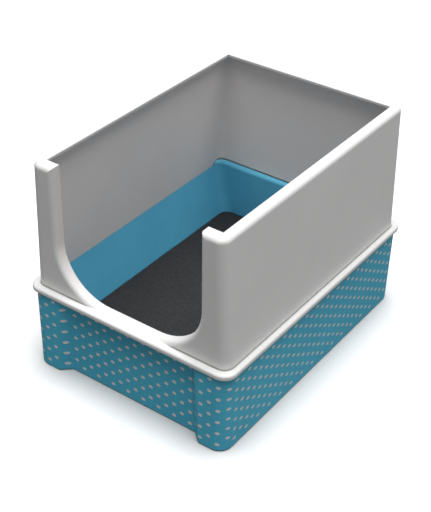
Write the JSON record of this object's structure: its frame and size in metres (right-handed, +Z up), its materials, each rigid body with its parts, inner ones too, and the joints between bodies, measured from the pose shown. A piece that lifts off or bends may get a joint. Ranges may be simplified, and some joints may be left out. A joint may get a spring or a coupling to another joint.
{
  "type": "cat litter box with high-sided shield",
  "caption": "Cat litter box: dotted outer pan, nested inner tray with litter, and a tall open-topped lift-off shield with a U-shaped entry.",
  "frame": {"origin": "centre of the footprint, on the surface that the box stands on", "axes": "+Z up, X across the width, the entry faces -Y"},
  "size_m": [0.4, 0.535, 0.387],
  "materials": {
    "pan_plastic": "satin moulded plastic with a printed dot pattern",
    "tray_plastic": "satin moulded plastic",
    "litter": "fine dark granules, raked level",
    "shield_plastic": "satin white moulded plastic"
  },
  "bodies": {
    "pan": {"outer_pan": "pan_plastic"},
    "tray": {"inner_tray": "tray_plastic", "litter_bed": "litter"},
    "shield": {"hood_shield": "shield_plastic"}
  },
  "joints": [
    {"name": "tray_lift", "type": "slide", "parent": "pan", "child": "tray", "axis": [0, 0, 1], "range_m": [0, 0.16]},
    {"name": "shield_lift", "type": "slide", "parent": "tray", "child": "shield", "axis": [0, 0, 1], "range_m": [0, 0.12]}
  ]
}
